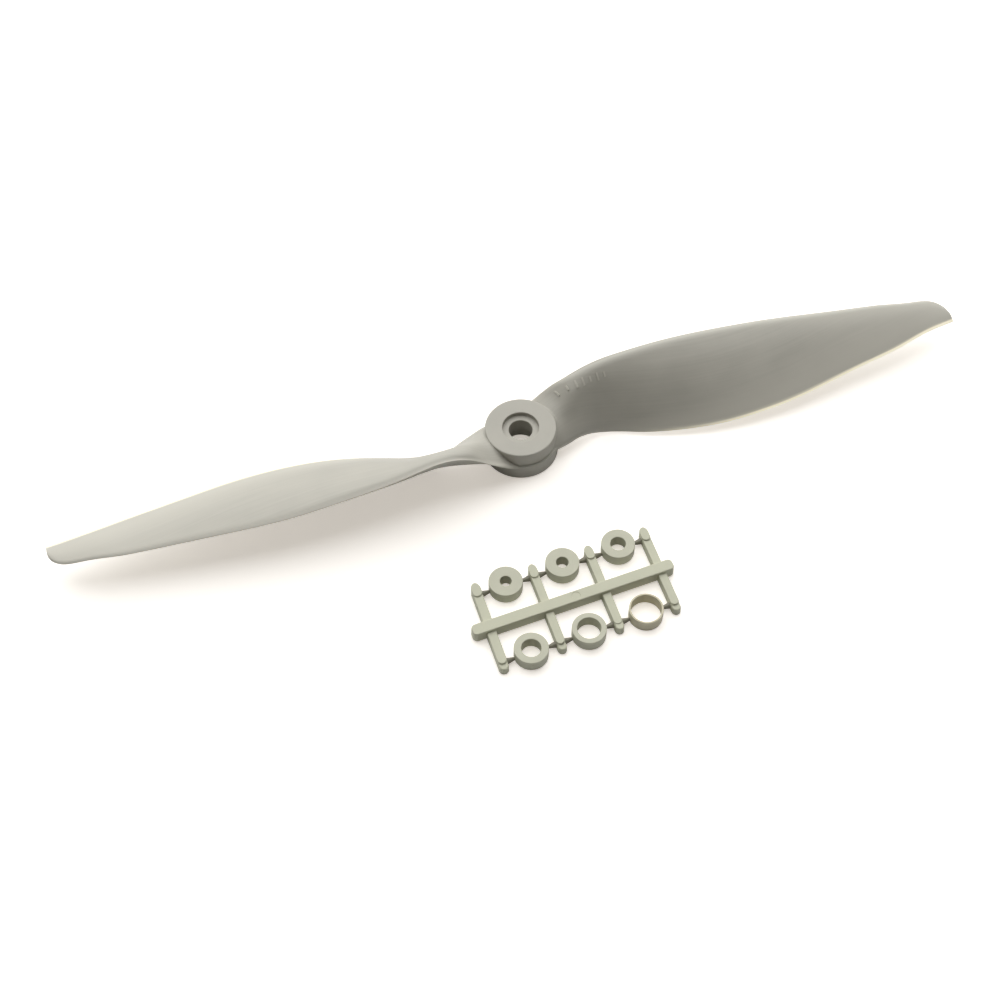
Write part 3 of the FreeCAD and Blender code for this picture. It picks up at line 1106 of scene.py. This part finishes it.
# %% [markdown]
# ## Adapter rings
# Six rings share one rule: a section with rounded corners, carried round a circle. Only the
# bore changes, so one geometry tree makes all six. Each ring but the thin one has a wider round
# on its outer top edge. The tree also writes each point's distance from the ring's axis, which
# the finish turns into the faint circles that the mould's turned insert leaves on the top face.

# %% Adapter rings
RING_ROUND = 0.12 * MM
RING_SHOULDER = 0.42 * MM
THIN_WALL = 1.0 * MM
RING_TURNS = 128


def ring_maker():
    """Turns a profile, the edge loop it is given, round an upright axis at Middle."""
    inputs = (("Turn radius", "Float"), ("Turns", "Int"), ("Middle", "Vector"),
              ("Finish", "Material"))
    tree, inlet, outlet = geometry_tree("adapter_ring_maker", inputs)
    profile = step_node(tree, "GeometryNodeMeshToCurve", (("Mesh", inlet.outputs[0]),))
    links = (("Radius", inlet.outputs["Turn radius"]), ("Resolution", inlet.outputs["Turns"]))
    circle = step_node(tree, "GeometryNodeCurvePrimitiveCircle", links)
    links = (("Curve", circle.outputs[0]), ("Profile Curve", profile.outputs[0]))
    body = step_node(tree, "GeometryNodeCurveToMesh", links)
    spot = step_node(tree, "GeometryNodeInputPosition")
    flat = step_node(tree, "ShaderNodeVectorMath", ((0, spot.outputs[0]),), ((1, (1, 1, 0)),),
                     operation="MULTIPLY")
    far = step_node(tree, "ShaderNodeVectorMath", ((0, flat.outputs[0]),), operation="LENGTH")
    links = (("Geometry", body.outputs[0]), ("Value", far.outputs["Value"]))
    noted = step_node(tree, "GeometryNodeStoreNamedAttribute", links, (("Name", "from_axis"),))
    links = (("Geometry", noted.outputs[0]), ("Translation", inlet.outputs["Middle"]))
    moved = step_node(tree, "GeometryNodeTransform", links)
    real = step_node(tree, "GeometryNodeRealizeInstances", (("Geometry", moved.outputs[0]),))
    links = (("Geometry", real.outputs[0]), ("Material", inlet.outputs["Finish"]))
    wire(tree, step_node(tree, "GeometryNodeSetMaterial", links).outputs[0], outlet.inputs[0])
    return tree


def ring_profile(outer, bore, height, shoulder):
    """The ring's section as an edge loop, measured from the bore, with the given round on its outer
    top.
    """
    wall = outer - bore
    half = height / 2
    corners = ((0, -half, RING_ROUND), (wall, -half, RING_ROUND),
               (wall, half, shoulder), (0, half, RING_ROUND))
    spots = rounded_profile(corners)
    count = len(spots)
    mesh = bpy.data.meshes.new("ring_profile")
    mesh.from_pydata([(spot.x, spot.y, 0) for spot in spots],
                     [(place, (place + 1) % count) for place in range(count)], [])
    return mesh


RING_MAKER = ring_maker()
RINGS = range(1, 7)
for number in RINGS:
    node = f"adapter_ring_{number}"
    low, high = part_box(node)
    bore = mount_size(f"ring_bore_{number}", "r_mm")
    outer = (high.x - low.x) / 2
    thin_ring = outer - bore < THIN_WALL
    profile = ring_profile(outer, bore, high.z - low.z, RING_ROUND if thin_ring else RING_SHOULDER)
    values = {
        "Turn radius": bore,
        "Turns": RING_TURNS,
        "Middle": middle_of(node),
        "Finish": THIN_NYLON if thin_ring else RING_NYLON,
    }
    ring = grown(node + "_moulded", RING_MAKER, profile, values)
    ring.data.polygons.foreach_set("use_smooth", [True] * len(ring.data.polygons))
    settle(ring, f"ring_{number}", "thin_nylon" if thin_ring else "ring_nylon", node)

# %% [markdown]
# ## Gates
# Melt reaches each ring through two small tapered gates, wide at the arm and narrow at the ring,
# so that a ring breaks off cleanly. There are twelve, all the same but for their length and
# direction. One point stands where each gate starts, and it carries the direction and length.
# The tree puts a cone on every point.

# %% Gates
GATE_SIDES = 20
GATE_TAPER = 0.47


def gate_maker():
    """Puts a cone on every point, along the point's aim and as long as the point says."""
    inputs = [("Ring end radius", "Float"), ("Arm end radius", "Float"), ("Finish", "Material")]
    tree, inlet, outlet = geometry_tree("gate_maker", inputs)
    cone = step_node(tree, "GeometryNodeMeshCone", (), (("Vertices", GATE_SIDES), ("Depth", 1.0)))
    wire(tree, inlet.outputs["Arm end radius"], cone.inputs["Radius Top"])
    wire(tree, inlet.outputs["Ring end radius"], cone.inputs["Radius Bottom"])
    aim = step_node(tree, "GeometryNodeInputNamedAttribute", (), (("Name", "aim"),),
                    data_type="FLOAT_VECTOR")
    length = step_node(tree, "GeometryNodeInputNamedAttribute", (), (("Name", "length"),))
    turn = step_node(tree, "FunctionNodeAlignRotationToVector",
                     (("Vector", aim.outputs[0]),), axis="Z")
    size = step_node(tree, "ShaderNodeCombineXYZ",
                     (("Z", length.outputs[0]),), (("X", 1.0), ("Y", 1.0)))
    links = (("Points", inlet.outputs[0]), ("Instance", cone.outputs[0]),
             ("Rotation", turn.outputs[0]), ("Scale", size.outputs[0]))
    placed = step_node(tree, "GeometryNodeInstanceOnPoints", links)
    real = step_node(tree, "GeometryNodeRealizeInstances", (("Geometry", placed.outputs[0]),))
    links = (("Geometry", real.outputs[0]), ("Material", inlet.outputs["Finish"]))
    wire(tree, step_node(tree, "GeometryNodeSetMaterial", links).outputs[0], outlet.inputs[0])
    return tree


def gates():
    """All twelve gates as one piece, and the CAD nodes that it stands for."""
    starts, aims, lengths, nodes = [], [], [], []
    for number in RINGS:
        ring_middle = middle_of(f"adapter_ring_{number}")
        for side in ("left", "right"):
            node = f"gate_{side}_{number}"
            middle = middle_of(node)
            low, high = measured(node, ring_middle, ALONG, ACROSS)
            aim_along = 1 if side == "right" else -1
            reach = sorted((abs(low[0]), abs(high[0])))
            start = ring_middle + ALONG * aim_along * reach[0]
            start.z = middle.z
            starts.append(start)
            aims.append(ALONG * aim_along)
            lengths.append(reach[1] - reach[0])
            nodes.append(node)
    base = marked_points(starts, {"aim": aims, "length": lengths})
    wide = (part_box(nodes[0])[1].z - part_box(nodes[0])[0].z) / 2
    values = {"Ring end radius": GATE_TAPER * wide, "Arm end radius": wide, "Finish": GATE_NYLON}
    piece = grown("ring_gates", gate_maker(), base, values)
    return piece, nodes


gate_piece, gate_nodes = gates()
settle(gate_piece, TREE, "runner_nylon", *gate_nodes)
